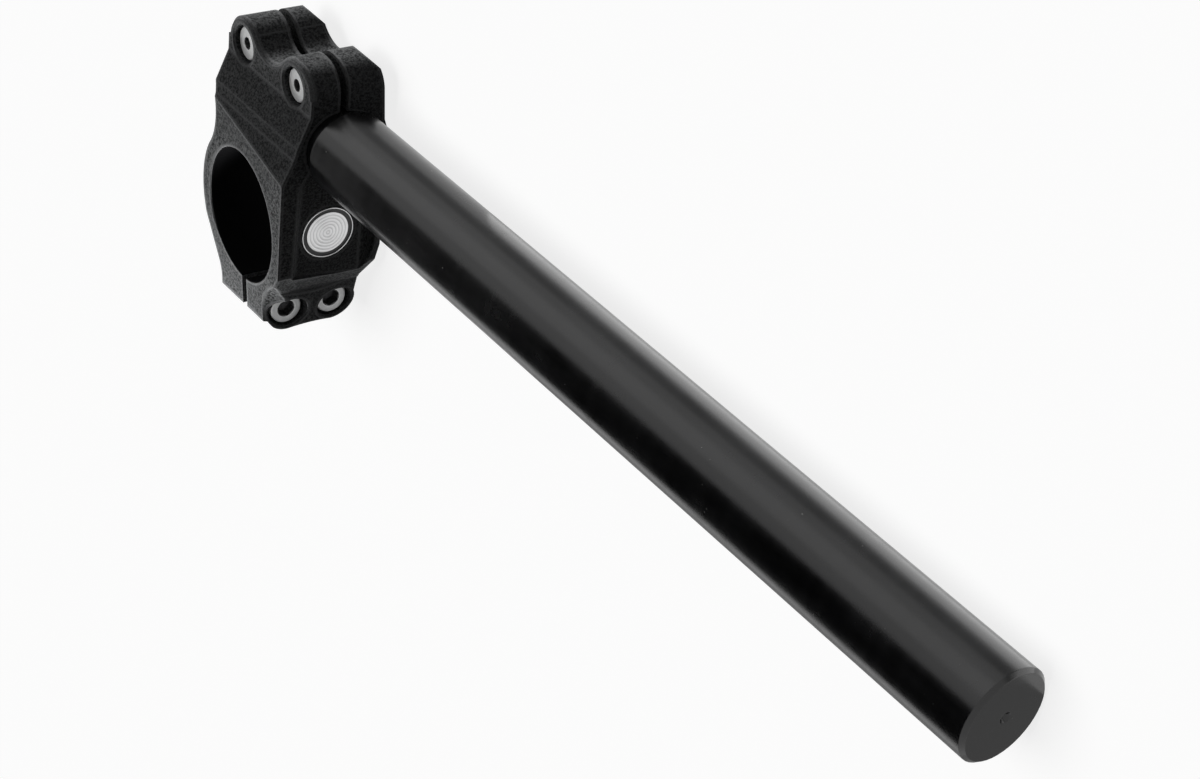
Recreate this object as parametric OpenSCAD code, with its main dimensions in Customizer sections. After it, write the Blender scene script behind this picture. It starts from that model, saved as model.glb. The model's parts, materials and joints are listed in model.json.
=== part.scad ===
// Clip-on handlebar, one side: a machined fork clamp, the bar it grips and the screws that close it.
// Frame: origin on the fork bore axis at mid height, +Z up the fork, +X outboard, +Y toward the bar.

/* [Fork clamp] */
// Diameter of the fork tube the clamp grips
fork_bore_d = 41; // [37:0.5:50]
// Height of the ring along the fork
ring_h = 33.4; // [32:0.1:38]
// Wall of the ring round the fork bore
ring_wall = 5.1; // [4.5:0.1:8]
// Wall between the fork bore and the flat outboard face
outboard_wall = 5; // [4.5:0.1:5.6]
// Edge break at both ends of the fork bore
bore_break = 0.5; // [0.2:0.1:1]

/* [Bar clamp] */
// Droop of the bar toward its outboard end, in degrees
bar_droop = 4; // [0:0.5:6]
// Wall between the fork bore and the bar bore
bar_web = 1.9; // [1.5:0.1:4]
// Wall between the bar bore and the screw holes in front of it
bar_screw_web = 1.9; // [1.4:0.1:4]
// Distance between the two bar clamp screws
bar_screw_pitch = 27.8; // [26:0.1:30]
// Place of the middle between the two screws, from the fork axis toward outboard
bar_screw_mid_x = 1.1; // [0:0.1:2]
// Wall of the boss round each counterbore
boss_wall = 2.3; // [1.5:0.1:3]
// Depth of the hollow between the two bosses
boss_hollow = 6.8; // [4:0.1:7.5]
// Height of the screw flat above the bar axis
screw_flat_h = 10.2; // [9.5:0.1:11.5]
// Depth of the front below the bar axis
clamp_low_h = 12.5; // [12:0.1:14]
// Size of the bevel along the lower front edge
low_bevel = 2.7; // [1:0.1:4]
// Edge break along the upper front edge
front_break = 1; // [0.4:0.1:1.5]
// Width of the slit that lets the bar clamp close
bar_slit_w = 2.3; // [1:0.1:3]
// Drop of that slit below the mid height of the ring
bar_slit_drop = 1.8; // [0:0.1:3]

/* [Top facets] */
// Front edge of the long facet, from the bar axis
facet_front_y = 10.7; // [8:0.1:11]
// Rear edge of the long facet, from the bar axis
facet_mid_y = 1.4; // [0:0.1:5]
// Height of that rear edge above the bar axis
facet_mid_h = 14; // [13.5:0.1:14.8]
// Depth of the short facet behind it
facet_rear_run = 3.5; // [2:0.1:6]
// Slope of the short facet, in degrees
facet_rear_slope = 14.4; // [5:0.1:20]
// Slope of the wall that climbs from there to the ring, in degrees
facet_wall_slope = 24.8; // [22:0.1:45]

/* [Pinch ears] */
// Place of the pinch slit, from the fork axis toward outboard
pinch_slit_x = 2.6; // [0:0.1:4]
// Width of the pinch slit
pinch_slit_w = 2.8; // [1:0.1:3.5]
// Wall between the fork bore and the pinch screw holes
pinch_web = 2.1; // [1.6:0.1:4]
// Distance between the two pinch screws
pinch_pitch = 15.1; // [13:0.1:16]
// Height of the middle between them, above the mid height of the ring
pinch_mid_z = 0.9; // [0:0.1:1.5]
// Wall of the ear round each counterbore
ear_boss_wall = 0.9; // [0.8:0.1:1.2]
// Depth of the hollow between the two bosses at the end of the ears
ear_hollow = 0.6; // [0.3:0.1:1]
// Distance of the end face behind the pinch screws
ear_end_run = 5; // [4:0.1:6]
// Turn of the end face about the fork axis, in degrees
ear_turn = 7; // [0:0.5:10]
// Place of the outboard ear's outer face at its fold
ear_outer_x = 20.8; // [20:0.1:23]
// Draft of that face toward the end, in degrees
ear_draft = 15; // [0:0.5:16]
// Radius of the crown of that face, which is slightly round along the fork
ear_crown_r = 165; // [100:5:300]
// Slope of the upper side toward the end, in degrees
ear_top_slope = 4.1; // [0:0.1:5]
// Rise of the lower side above the bottom of the ring
ear_rise = 4; // [2:0.1:4.5]

/* [Outboard pocket] */
// Depth of the pocket in the outboard face
pocket_depth = 2; // [0.8:0.1:2.2]
// Distance of its upper edge below the top of the ring
pocket_top_gap = 4.5; // [3:0.1:6]
// Rim left below the pocket
pocket_rim = 1.5; // [1.2:0.1:3]
// Diameter of the round badge seat in the pocket
badge_seat_d = 17.4; // [12:0.1:18]
// Place of the badge centre, from the fork axis toward the bar
badge_y = 3.8; // [2:0.1:5]
// Depth of the badge seat
badge_seat_depth = 1; // [0.6:0.1:1.2]
// Thickness of the badge
badge_t = 1.3; // [0.8:0.1:1.8]
// Gap round the badge in its seat
badge_gap = 0.4; // [0.1:0.1:0.8]
// Width of the raised edge of the badge
badge_edge_w = 0.5; // [0.3:0.1:1.2]

/* [Bar] */
// Diameter of the bar where the grip goes
bar_d = 25.4; // [24:0.1:27]
// Diameter of the turned down end that sits in the clamp
spigot_d = 22.2; // [20:0.1:23]
// Length of the turned down end
spigot_len = 54.2; // [53:0.1:58]
// How far it reaches past the inboard side of the clamp
spigot_past = 4.1; // [2:0.1:5]
// Length of the full diameter outboard of the shoulder
grip_len = 266; // [220:1:320]
// Radius of the rounded inboard end
bar_in_round = 2; // [0.5:0.1:3]
// Edge break at the outboard end
bar_out_break = 1; // [0.3:0.1:2]
// Diameter of the centre drilling in each end
centre_d = 3.2; // [1.5:0.1:5]

/* [Screws] */
// Thread diameter of all four screws
screw_d = 6; // [5:0.5:6.5]
// Head diameter of all four screws
screw_head_d = 10; // [9:0.1:11]
// Counterbore diameter round each head
seat_d = 11.8; // [11.4:0.1:12.4]
// Head height of the bar clamp screws
low_head_h = 4; // [3.5:0.1:4.5]
// Hexagon size of the bar clamp screws
low_hex = 4; // [3:0.5:5]
// Length of the bar clamp screws under the head
low_screw_len = 16; // [14:1:17]
// Drop of the bar clamp screw heads below the flat
low_head_drop = 1.3; // [0.5:0.1:2]
// Head height of the pinch screws
tall_head_h = 6; // [5:0.1:7]
// Hexagon size of the pinch screws
tall_hex = 5; // [4:0.5:6]
// Length of the pinch screws under the head
tall_screw_len = 20; // [16:1:22]
// Depth of the pinch screw heads below the fold of the ear
tall_head_drop = 4.9; // [3:0.1:5.5]
// Edge break of the screw heads
head_break = 0.4; // [0.2:0.1:0.8]

/* [Hidden] */
$fn = 96;
// radial play of the screws in their holes and of the bar in its bore
screw_play = 0.2;
thread_play = 0.05;
bar_play = 0.05;
// how far a cutting piece reaches past the surface it opens
past = 1;
// length of a cutting piece that passes all the way through
through = 140;
// how deep a hollow runs into the round it continues, so that the two surfaces cross
bite = 0.05;
// share of a screw head's height that its hexagon takes up, and length of its tip cone by thread diameter
hex_share = 0.55;
tip_share = 0.125;
// share of the badge's thickness that lies under its turned ring
badge_face_share = 0.8;

half_h = ring_h / 2;
fork_r = fork_bore_d / 2;
ring_r = fork_r + ring_wall;
outboard_x = fork_r + outboard_wall;
bar_r = bar_d / 2;
spigot_r = spigot_d / 2;
seat_r = seat_d / 2;
bar_y = fork_r + bar_web + spigot_r;

// bar clamp screws and the bosses round them
boss_r = seat_r + boss_wall;
boss_y = bar_y + spigot_r + bar_screw_web + screw_d / 2;
bar_screw_x = [bar_screw_mid_x - bar_screw_pitch / 2, bar_screw_mid_x + bar_screw_pitch / 2];
inboard_x = bar_screw_x[0] - boss_r;
corner_x = max(outboard_x - boss_r, bar_screw_x[1]);

// the neck between the ring and the bar clamp, on the inboard side
neck_r = 19;
neck_meet = 32;
neck_x = inboard_x - neck_r * cos(neck_meet);
neck_y = sqrt(pow(ring_r + neck_r - bite, 2) - pow(neck_x, 2));

// the inboard ear leaves the ring along a tangent, then a round turns it straight
ear_inner_x = -13.7;
ear_lean = 31;
waist_r = 12;
waist_x = ear_inner_x - waist_r;
waist_y = -(ring_r - bite + waist_r + waist_x * cos(ear_lean)) / sin(ear_lean);

// pinch screws and the ears they draw together
pinch_y = -(fork_r + pinch_web + screw_d / 2);
pinch_z = [pinch_mid_z + pinch_pitch / 2, pinch_mid_z - pinch_pitch / 2];
ear_boss_r = seat_r + ear_boss_wall;
// the outboard ear falls from its root to a narrow flat, and its crowned face starts at the fold
ear_root_y = -8;
ear_foot_y = pinch_y + 9.3;
ear_fold_y = pinch_y + 7.8;
ear_crown_z = 2.5;
tall_head_x = ear_outer_x - tall_head_drop;
// places along Y where the ears' upper and lower sides bend
ear_top_y = -11.5;
ear_low_y = [-3, -8.7, -15];
ear_first_rise = 0.375;
// the bevel at the upper corner of the outboard ear is a cone about an upright axis outside it
bevel_out = 9.7;
bevel_back = 0.9;
bevel_x = ear_outer_x + bevel_out;
bevel_y = pinch_y - bevel_back;
bevel_top_r = 16.6;
bevel_slope = 35.6;
bevel_share = 0.9;

// the underside of the bar clamp, in the frame of the bar
belly_y = 6;
belly_slope = 4.1;
belly_rear_slope = 18;

// outline of the outboard pocket in Y and Z
pocket_x = outboard_x - pocket_depth;
pocket_top_z = half_h - pocket_top_gap;
pocket_low_z = pocket_rim - half_h;
pocket_side_y = [-12, -9.3, -8.6];
pocket_side_z = -10.7;
pocket_fall = 0.034;
pocket_bend_y = 20.4;
pocket_bend = 29;
pocket_corner = 0.7;
pocket_end_y = bar_y - 6.5;
pocket_round_r = 15;
pocket_round_y = -1.3;
pocket_floor_slope = 20;

// Height over the mid plane of the screw flat, at a place along X.
function flat_z(x) = (screw_flat_h - x * sin(bar_droop)) / cos(bar_droop);

// Place along the bar where an upright line at x meets the screw flat.
function flat_t(x) = x * cos(bar_droop) - flat_z(x) * sin(bar_droop);

// Height over the mid plane of the seat under a bar clamp screw head.
function low_seat_z(x) = flat_z(x) - low_head_drop - low_head_h;

// Puts a piece in the frame of the bar: X along the bar, Z square to it.
module bar_frame() {
    translate([0, bar_y, 0])
        rotate([0, bar_droop, 0])
            children();
}

// Runs an outline drawn in Y and Z along X, from x0 to x1.
module along_x(x0, x1) {
    translate([x0, 0, 0])
        rotate([90, 0, 90])
            linear_extrude(height = x1 - x0)
                children();
}

// Two rounds side by side along X, joined, with a shallow hollow between them on the +Y side.
module twin_rounds(half_gap, r, hollow) {
    reach = (half_gap * half_gap + hollow * hollow) / (2 * hollow);
    difference() {
        union() {
            for (side = [-1, 1])
                translate([side * half_gap, 0])
                    circle(r = r);
            translate([-half_gap, -r])
                square([2 * half_gap, r + (reach - hollow) * r / reach]);
        }
        translate([0, reach - hollow])
            circle(r = reach - r + bite);
    }
}

// Plan outline of the ring, the bar clamp and the two bosses at its front.
module block_outline() {
    difference() {
        intersection() {
            union() {
                circle(r = ring_r);
                translate([inboard_x, 0])
                    square([outboard_x - inboard_x, boss_y]);
                polygon([
                    [0, 0],
                    [neck_x, neck_y],
                    [inboard_x + past, neck_y + neck_r * sin(neck_meet)],
                    [0, boss_y]
                ]);
                translate([bar_screw_mid_x, boss_y])
                    twin_rounds(bar_screw_pitch / 2, boss_r, boss_hollow);
                translate([corner_x, boss_y])
                    circle(r = boss_r);
                translate([bar_screw_x[1], boss_y - past])
                    square([corner_x - bar_screw_x[1], boss_r + past]);
            }
            translate([outboard_x - through, -through / 2])
                square(through);
        }
        translate([neck_x, neck_y])
            circle(r = neck_r);
    }
}

// Plan outline of both ears, open toward their end.
module ear_outline() {
    difference() {
        polygon([
            [0, 0],
            [(bite - ring_r) * cos(ear_lean), (bite - ring_r) * sin(ear_lean)],
            [waist_x + waist_r * cos(ear_lean), waist_y + waist_r * sin(ear_lean)],
            [waist_x, waist_y],
            [ear_inner_x, waist_y],
            [ear_inner_x, -through / 2],
            [ear_outer_x, -through / 2],
            [ear_outer_x, ear_foot_y],
            [outboard_x, ear_root_y],
            [outboard_x, 0]
        ]);
        translate([waist_x, waist_y])
            circle(r = waist_r + bite);
    }
}

// Side outline in Y and Z: full height at the ring, drawn in from above and below at the ears.
module side_outline() {
    far_y = -through / 2;
    polygon([
        [through, half_h],
        [ear_top_y, half_h],
        [far_y, half_h + (far_y - ear_top_y) * tan(ear_top_slope)],
        [far_y, ear_rise - half_h],
        [ear_low_y[2], ear_rise - half_h],
        [ear_low_y[1], ear_rise * ear_first_rise - half_h],
        [ear_low_y[0], -half_h],
        [through, -half_h]
    ]);
}

// The outside of the clamp before the bar clamp gets its facets.
module clamp_blank() {
    intersection() {
        linear_extrude(height = ring_h, center = true)
            union() {
                block_outline();
                intersection() {
                    ear_outline();
                    rotate(ear_turn)
                        translate([-through / 2, pinch_y - ear_end_run])
                            square(through);
                }
            }
        along_x(-through / 2, through / 2)
            side_outline();
    }
    intersection() {
        linear_extrude(height = ring_h, center = true)
            ear_outline();
        along_x(-through / 2, through / 2)
            translate([pinch_y, pinch_mid_z])
                rotate(90)
                    twin_rounds(pinch_pitch / 2, ear_boss_r, ear_hollow);
    }
}

// Everything above the facets that step down from the ring to the screw flat.
module above_facets() {
    rear_y = facet_mid_y - facet_rear_run;
    rear_h = facet_mid_h + facet_rear_run * tan(facet_rear_slope);
    wall_run = through / 4;
    bar_frame()
        along_x(-through / 2, through / 2)
            polygon([
                [through / 2, screw_flat_h],
                [facet_front_y, screw_flat_h],
                [facet_mid_y, facet_mid_h],
                [rear_y, rear_h],
                [rear_y - wall_run, rear_h + wall_run * tan(facet_wall_slope)],
                [through / 2, rear_h + wall_run * tan(facet_wall_slope)]
            ]);
}

// Everything below the bar clamp, in front of the ring.
module below_clamp() {
    front_y = boss_y + boss_r - bar_y;
    belly_h = clamp_low_h + (front_y - low_bevel - belly_y) * tan(belly_slope);
    rear_run = through / 4;
    bar_frame()
        along_x(-through / 2, through / 2)
            polygon([
                [front_y + clamp_low_h, low_bevel],
                [front_y - low_bevel, -clamp_low_h],
                [belly_y, -belly_h],
                [belly_y - rear_run, -belly_h - rear_run * tan(belly_rear_slope)],
                [front_y + clamp_low_h, -belly_h - rear_run * tan(belly_rear_slope)]
            ]);
}

// The edge break along the front of the screw flat, following both bosses and the hollow.
module front_edge_break() {
    // the sloped sides are carried this far below and above the flat
    drop = 3;
    rise = 1;
    half_gap = bar_screw_pitch / 2;
    reach = (half_gap * half_gap + boss_hollow * boss_hollow) / (2 * boss_hollow);
    hollow_y = reach - boss_hollow;
    low_r = boss_r - front_break + drop;
    high_r = boss_r - front_break - rise;
    translate([0, boss_y - bar_y, screw_flat_h - drop])
        difference() {
            translate([-through / 2, 0, 0])
                cube([through, through / 2, drop + rise]);
            difference() {
                union() {
                    for (x = [bar_screw_x[0], bar_screw_x[1], corner_x])
                        translate([flat_t(x), 0, 0])
                            cylinder(h = drop + rise, r1 = low_r, r2 = high_r);
                    along_x(flat_t(bar_screw_x[1]), flat_t(corner_x))
                        polygon([[-past, 0], [low_r, 0], [high_r, drop + rise], [-past, drop + rise]]);
                    along_x(flat_t(bar_screw_x[0]), flat_t(bar_screw_x[1]))
                        polygon([
                            [-past, 0],
                            [low_r * hollow_y / reach, 0],
                            [high_r * hollow_y / reach, drop + rise],
                            [-past, drop + rise]
                        ]);
                }
                translate([flat_t(bar_screw_mid_x), hollow_y, 0])
                    cylinder(h = drop + rise, r1 = reach - low_r + bite, r2 = reach - high_r + bite);
            }
        }
}

// Fork bore with the edge break at both ends.
module fork_bore() {
    cylinder(h = through, r = fork_r, center = true);
    for (up = [0, 1])
        mirror([0, 0, up])
            translate([0, 0, half_h - bore_break])
                cylinder(h = bore_break + past, r1 = fork_r, r2 = fork_r + bore_break + past);
}

// Counterbore, clearance hole and tapped hole of one screw, along Z from the seat at z = 0.
module screw_hole(clear_len) {
    cylinder(h = through / 2, r = seat_r);
    translate([0, 0, -clear_len])
        cylinder(h = clear_len + past, r = screw_d / 2 + screw_play);
    translate([0, 0, -through / 2])
        cylinder(h = through / 2, r = screw_d / 2 + thread_play);
}

// Everything outside the crowned, drafted face of the outboard ear.
module beyond_ear_face() {
    difference() {
        translate([0, -through / 2, -through / 2])
            cube([through / 2, through / 2 + ear_foot_y - bite, through]);
        translate([ear_outer_x, ear_fold_y, ear_crown_z])
            rotate(-ear_draft)
                translate([-ear_crown_r, 0, 0])
                    rotate([90, 0, 0])
                        cylinder(h = 2 * through, r = ear_crown_r, center = true);
    }
}

// The bevel that takes off the upper corner of the outboard ear.
module ear_bevel() {
    fall = bevel_share * bevel_top_r / tan(bevel_slope);
    spread = tan(bevel_slope);
    translate([bevel_x, bevel_y, half_h - fall])
        cylinder(h = fall + past, r1 = bevel_top_r - fall * spread, r2 = bevel_top_r + past * spread);
}

// Outline of the outboard pocket in Y and Z, open into the bar bore.
module pocket_outline() {
    bend_z = pocket_top_z - (pocket_bend_y - pocket_side_y[2]) * pocket_fall;
    intersection() {
        polygon([
            [pocket_side_y[2], pocket_top_z],
            [pocket_bend_y, bend_z],
            [pocket_end_y, bend_z - (pocket_end_y - pocket_bend_y) * tan(pocket_bend)],
            [pocket_end_y, pocket_low_z],
            [pocket_side_y[0], pocket_low_z],
            [pocket_side_y[0], pocket_side_z],
            [pocket_side_y[1], pocket_top_z - pocket_corner]
        ]);
        union() {
            translate([pocket_round_y, pocket_low_z + pocket_round_r])
                circle(r = pocket_round_r);
            translate([pocket_round_y, -through / 2])
                square(through);
            translate([-through / 2, pocket_side_z])
                square(through);
        }
    }
}

// The outboard pocket: sloped roof, flat floor that leans inward at its lower end, badge seat.
module pocket() {
    roof_turn = atan(pocket_fall);
    lean_h = pocket_side_z - pocket_low_z;
    difference() {
        along_x(pocket_x, outboard_x + past)
            pocket_outline();
        translate([outboard_x, pocket_side_y[2], pocket_top_z])
            rotate([-roof_turn, 0, 0])
                rotate([0, -45, 0])
                    translate([-through / 2, -through / 2, 0])
                        cube([through, through, pocket_depth * 4]);
    }
    intersection() {
        along_x(pocket_x - pocket_depth, pocket_x + past)
            pocket_outline();
        translate([pocket_x, -through / 2, pocket_side_z])
            rotate([0, pocket_floor_slope, 0])
                translate([0, 0, -2 * lean_h])
                    cube([2 * pocket_depth, through, 2 * lean_h]);
    }
    translate([pocket_x - badge_seat_depth, badge_y, 0])
        rotate([0, 90, 0])
            cylinder(h = badge_seat_depth + past, d = badge_seat_d);
}

// The machined clamp: ring, ears and bar clamp in one piece.
module clamp_body() {
    color([0.17, 0.17, 0.18])
        difference() {
            clamp_blank();
            above_facets();
            below_clamp();
            bar_frame()
                front_edge_break();
            beyond_ear_face();
            ear_bevel();
            fork_bore();
            bar_frame()
                rotate([0, 90, 0])
                    cylinder(h = through, r = spigot_r + bar_play, center = true);
            translate([-through / 2, bar_y, -bar_slit_drop - bar_slit_w / 2])
                cube([through, through / 2, bar_slit_w]);
            translate([pinch_slit_x - pinch_slit_w / 2, -through / 2, -through / 2])
                cube([pinch_slit_w, through / 2, through]);
            for (x = bar_screw_x)
                translate([x, boss_y, low_seat_z(x)])
                    screw_hole(low_seat_z(x) + bar_slit_drop);
            for (z = pinch_z)
                translate([tall_head_x - tall_head_h, pinch_y, z])
                    rotate([0, 90, 0])
                        screw_hole(tall_head_x - tall_head_h - pinch_slit_x);
            pocket();
        }
}

// The bar: turned down end with a filleted shoulder, full diameter for the grip, flat outer end.
module bar() {
    in_t = inboard_x - spigot_past;
    shoulder_t = in_t + spigot_len;
    out_t = shoulder_t + grip_len;
    step = bar_r - spigot_r;
    centre_r = centre_d / 2;
    centre_depth = centre_r / tan(30);
    color([0.12, 0.12, 0.13])
        bar_frame()
            rotate([0, 90, 0])
                rotate_extrude()
                    difference() {
                        union() {
                            translate([0, in_t])
                                square([spigot_r - bar_in_round, spigot_len]);
                            translate([0, in_t + bar_in_round])
                                square([spigot_r, spigot_len - bar_in_round]);
                            translate([spigot_r - bar_in_round, in_t + bar_in_round])
                                circle(r = bar_in_round);
                            difference() {
                                translate([0, shoulder_t - step])
                                    square([bar_r, step]);
                                translate([bar_r, shoulder_t - step])
                                    circle(r = step);
                            }
                            translate([0, shoulder_t])
                                square([bar_r, grip_len - bar_out_break]);
                            polygon([
                                [0, out_t - bar_out_break],
                                [bar_r, out_t - bar_out_break],
                                [bar_r - bar_out_break, out_t],
                                [0, out_t]
                            ]);
                        }
                        polygon([[0, in_t], [centre_r, in_t], [0, in_t + centre_depth]]);
                        polygon([[0, out_t], [centre_r, out_t], [0, out_t - centre_depth]]);
                        translate([-bar_in_round, in_t])
                            square([bar_in_round, spigot_len]);
                    }
}

// A socket head cap screw along Z, with the underside of its head at z = 0.
module cap_screw(head_h, hex, len) {
    head_r = screw_head_d / 2;
    tip = screw_d * tip_share;
    color([0.78, 0.78, 0.8])
        difference() {
            union() {
                cylinder(h = head_h - head_break, r = head_r);
                translate([0, 0, head_h - head_break])
                    cylinder(h = head_break, r1 = head_r, r2 = head_r - head_break);
                translate([0, 0, tip - len])
                    cylinder(h = len - tip, d = screw_d);
                translate([0, 0, -len])
                    cylinder(h = tip, r1 = screw_d / 2 - tip, r2 = screw_d / 2);
            }
            translate([0, 0, head_h * (1 - hex_share)])
                cylinder(h = head_h, r = hex / sqrt(3), $fn = 6);
        }
}

// A bar clamp screw at x, standing upright in the front of the clamp.
module bar_screw(x) {
    translate([x, boss_y, low_seat_z(x)])
        cap_screw(low_head_h, low_hex, low_screw_len);
}

module bar_screw_inboard() {
    bar_screw(bar_screw_x[0]);
}

module bar_screw_outboard() {
    bar_screw(bar_screw_x[1]);
}

// A pinch screw at height z, lying across the ears with its head outboard.
module pinch_screw(z) {
    translate([tall_head_x - tall_head_h, pinch_y, z])
        rotate([0, 90, 0])
            cap_screw(tall_head_h, tall_hex, tall_screw_len);
}

module pinch_screw_upper() {
    pinch_screw(pinch_z[0]);
}

module pinch_screw_lower() {
    pinch_screw(pinch_z[1]);
}

// The plain round badge in its seat, with a raised edge and a turned ring inside it.
module badge() {
    r = badge_seat_d / 2 - badge_gap;
    face_t = badge_t * badge_face_share;
    color([0.82, 0.82, 0.84])
        translate([pocket_x - badge_seat_depth, badge_y, 0])
            rotate([0, 90, 0])
                difference() {
                    cylinder(h = badge_t, r = r);
                    translate([0, 0, face_t])
                        difference() {
                            cylinder(h = badge_t, r = r - badge_edge_w);
                            cylinder(h = badge_t, r = r - 3 * badge_edge_w);
                        }
                }
}

clamp_body();
bar();
bar_screw_inboard();
bar_screw_outboard();
pinch_screw_upper();
pinch_screw_lower();
badge();
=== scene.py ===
# %% [markdown]
# # A clip-on handlebar, dressed for its picture
#
# The part is one side of a motorcycle's clip-on handlebar: a machined clamp grips the fork tube,
# a turned bar sits in it, and four socket head screws close it.
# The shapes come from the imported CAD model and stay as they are.
# This lesson gives them their finishes, replaces the plain screws and the badge with detailed
# surfaces, and sets up the light and the camera.
# All lengths are in metres, in the frame of the CAD model.

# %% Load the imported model
import json
import math

import bmesh
import bpy
import numpy as np
from mathutils import Matrix, Vector


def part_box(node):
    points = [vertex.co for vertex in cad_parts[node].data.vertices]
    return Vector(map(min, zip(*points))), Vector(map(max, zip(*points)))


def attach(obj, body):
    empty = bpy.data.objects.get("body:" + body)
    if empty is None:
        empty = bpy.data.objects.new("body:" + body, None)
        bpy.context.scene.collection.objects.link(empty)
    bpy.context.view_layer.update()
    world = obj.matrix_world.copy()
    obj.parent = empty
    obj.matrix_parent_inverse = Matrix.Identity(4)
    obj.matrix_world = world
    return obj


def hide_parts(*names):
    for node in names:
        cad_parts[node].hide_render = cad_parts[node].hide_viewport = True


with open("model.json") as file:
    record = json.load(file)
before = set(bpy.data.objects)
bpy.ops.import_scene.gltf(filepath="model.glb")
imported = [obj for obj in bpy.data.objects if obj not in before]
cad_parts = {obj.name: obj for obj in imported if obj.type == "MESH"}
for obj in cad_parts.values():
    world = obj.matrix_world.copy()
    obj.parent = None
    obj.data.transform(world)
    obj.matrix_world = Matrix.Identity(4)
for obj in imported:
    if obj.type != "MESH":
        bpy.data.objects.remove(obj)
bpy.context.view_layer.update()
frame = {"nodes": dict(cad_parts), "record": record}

MM = 0.001
nodes = frame["nodes"]
print("nodes:", ", ".join(sorted(nodes)))

# %% [markdown]
# ## Sizes read from the frame
#
# Every new piece is set on the node that it stands for. The box of a node gives its ends, so the
# screws and the badge follow the CAD model when it changes. The bar droops a few degrees from
# the X axis, and its direction is read from the mount that the record gives for the grip.

# %% Where the bar runs
mounts = {m["name"]: m for m in frame["record"]["mounts"]}
bar_dir = np.array(mounts["grip_seat"]["axis"])
bar_point = np.array(mounts["grip_seat"]["pos_m"])
fork_r = mounts["fork_clamp"]["dims"]["r_mm"] * MM
bar_r = mounts["grip_seat"]["dims"]["r_mm"] * MM
droop = math.atan2(-bar_dir[2], bar_dir[0])
bar_centre = bar_point - bar_dir * bar_point[0] / bar_dir[0]
body_low, body_high = (np.array(c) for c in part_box("clamp_body"))
half_height = body_high[2]
print("droop in degrees:", round(math.degrees(droop), 2))
print("bar axis crosses the fork's plane at, in mm:", (bar_centre / MM).round(2))

# %% [markdown]
# ## A mesh from a grid of points
#
# The small turned pieces could be cut from cylinders with booleans, but cuts leave thin faces
# that shade badly. Here they are surfaces worked out as whole numpy arrays: a function of two
# parameters, sampled on a grid, gives the points, and this helper joins neighbours with
# four-sided faces. Around the axis the grid closes on itself. Each end closes in one pole point,
# so the piece is a sealed solid. A positive volume shows that its faces point outwards.

# %% Helpers for meshes
def signed_volume(mesh):
    """The volume inside the faces. It comes out negative where they point inwards."""
    grid = bmesh.new()
    grid.from_mesh(mesh)
    volume = grid.calc_volume(signed=True)
    grid.free()
    return volume


def make_object(name, points, faces, body="root"):
    """A mesh object of these points and faces, smooth shaded, riding on a body."""
    mesh = bpy.data.meshes.new(name)
    mesh.from_pydata(points.tolist(), [], faces)
    mesh.update()
    mesh.shade_smooth()
    piece = bpy.data.objects.new(name, mesh)
    bpy.context.scene.collection.objects.link(piece)
    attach(piece, body)
    print(name, "volume in cubic mm:", round(signed_volume(mesh) / MM**3, 1))
    return piece


def closed_grid(rings):
    """Points and faces of a solid whose skin is a stack of rings, with a pole at each end.

    rings is an array of (rows, columns, 3). Face (i, j) joins ring i to ring i + 1 between
    the columns j and j + 1, and column numbers wrap round. Each pole is its ring's mean.
    """
    rows, cols = rings.shape[:2]
    i, j = np.meshgrid(np.arange(rows - 1), np.arange(cols), indexing="ij")
    nxt = (j + 1) % cols
    quads = np.stack([i * cols + j, (i + 1) * cols + j, (i + 1) * cols + nxt, i * cols + nxt], -1)
    first, last = rows * cols, rows * cols + 1
    j = np.arange(cols)
    nxt = (j + 1) % cols
    start = np.stack([np.full(cols, first), j, nxt], -1)
    top = (rows - 1) * cols
    end = np.stack([np.full(cols, last), top + nxt, top + j], -1)
    points = np.concatenate([rings.reshape(-1, 3), rings[0].mean(0)[None], rings[-1].mean(0)[None]])
    return points, quads.reshape(-1, 4).tolist() + start.tolist() + end.tolist()


def arc(centre, radius, start, end, count):
    """Points on a circle arc, as (radius, height) pairs: centre + r (cos a, sin a)."""
    a = np.radians(np.linspace(start, end, count))
    return np.stack([centre[0] + radius * np.cos(a), centre[1] + radius * np.sin(a)], -1)


# %% [markdown]
# ## Socket head screws
#
# A real cap screw is turned from the tip to the head: a rolled thread, a plain underside, a
# knurled head and a broached hexagon socket with a shallow lead-in cone.
# One closed surface can hold all of it. Its rows run from the middle of the socket floor, up the
# socket, over the head and down the shank to the tip, and its columns run round the axis.
# So nothing has to be cut or joined, and every formula is a radius for each row and angle.

# %% Rings round a screw's axis
THREAD_PITCH = 1.0 * MM
THREAD_DEPTH = 0.5 * MM
KNURL_COUNT = 48
KNURL_DEPTH = 0.13 * MM
SCREW_COLUMNS = 4 * KNURL_COUNT
SCREW_ANGLE = np.linspace(0, 2 * math.pi, SCREW_COLUMNS, endpoint=False)


def rings_round(radius, height):
    """Points (radius cos angle, radius sin angle, height). Both arrays have a row for each ring,
    with one column, or one for each angle."""
    radius, height, angle = np.broadcast_arrays(radius, height, SCREW_ANGLE)
    return np.stack([radius * np.cos(angle), radius * np.sin(angle), height], -1)


def turned(pairs):
    """Rings of a turned stretch, from (radius, height) pairs."""
    pairs = np.array(pairs)
    return rings_round(pairs[:, :1], pairs[:, 1:])


print("columns round a screw:", SCREW_COLUMNS)

# %% [markdown]
# ## The socket
#
# The hexagon is only a radius that changes with the angle. A few rows cover the floor, which is
# a little deeper in the middle, two stand the wall up, and three open the mouth to a circle.

# %% Socket rows
SOCKET_DEPTH_SHARE = 0.55
SOCKET_DISH = 0.3 * MM
LEAD_IN = 0.25 * MM
SOCKET_ROWS = 6
SOCKET_SHARES = (0.02, 0.5, 0.97, 1.0)
WALL_FOOT = 0.05 * MM


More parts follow.
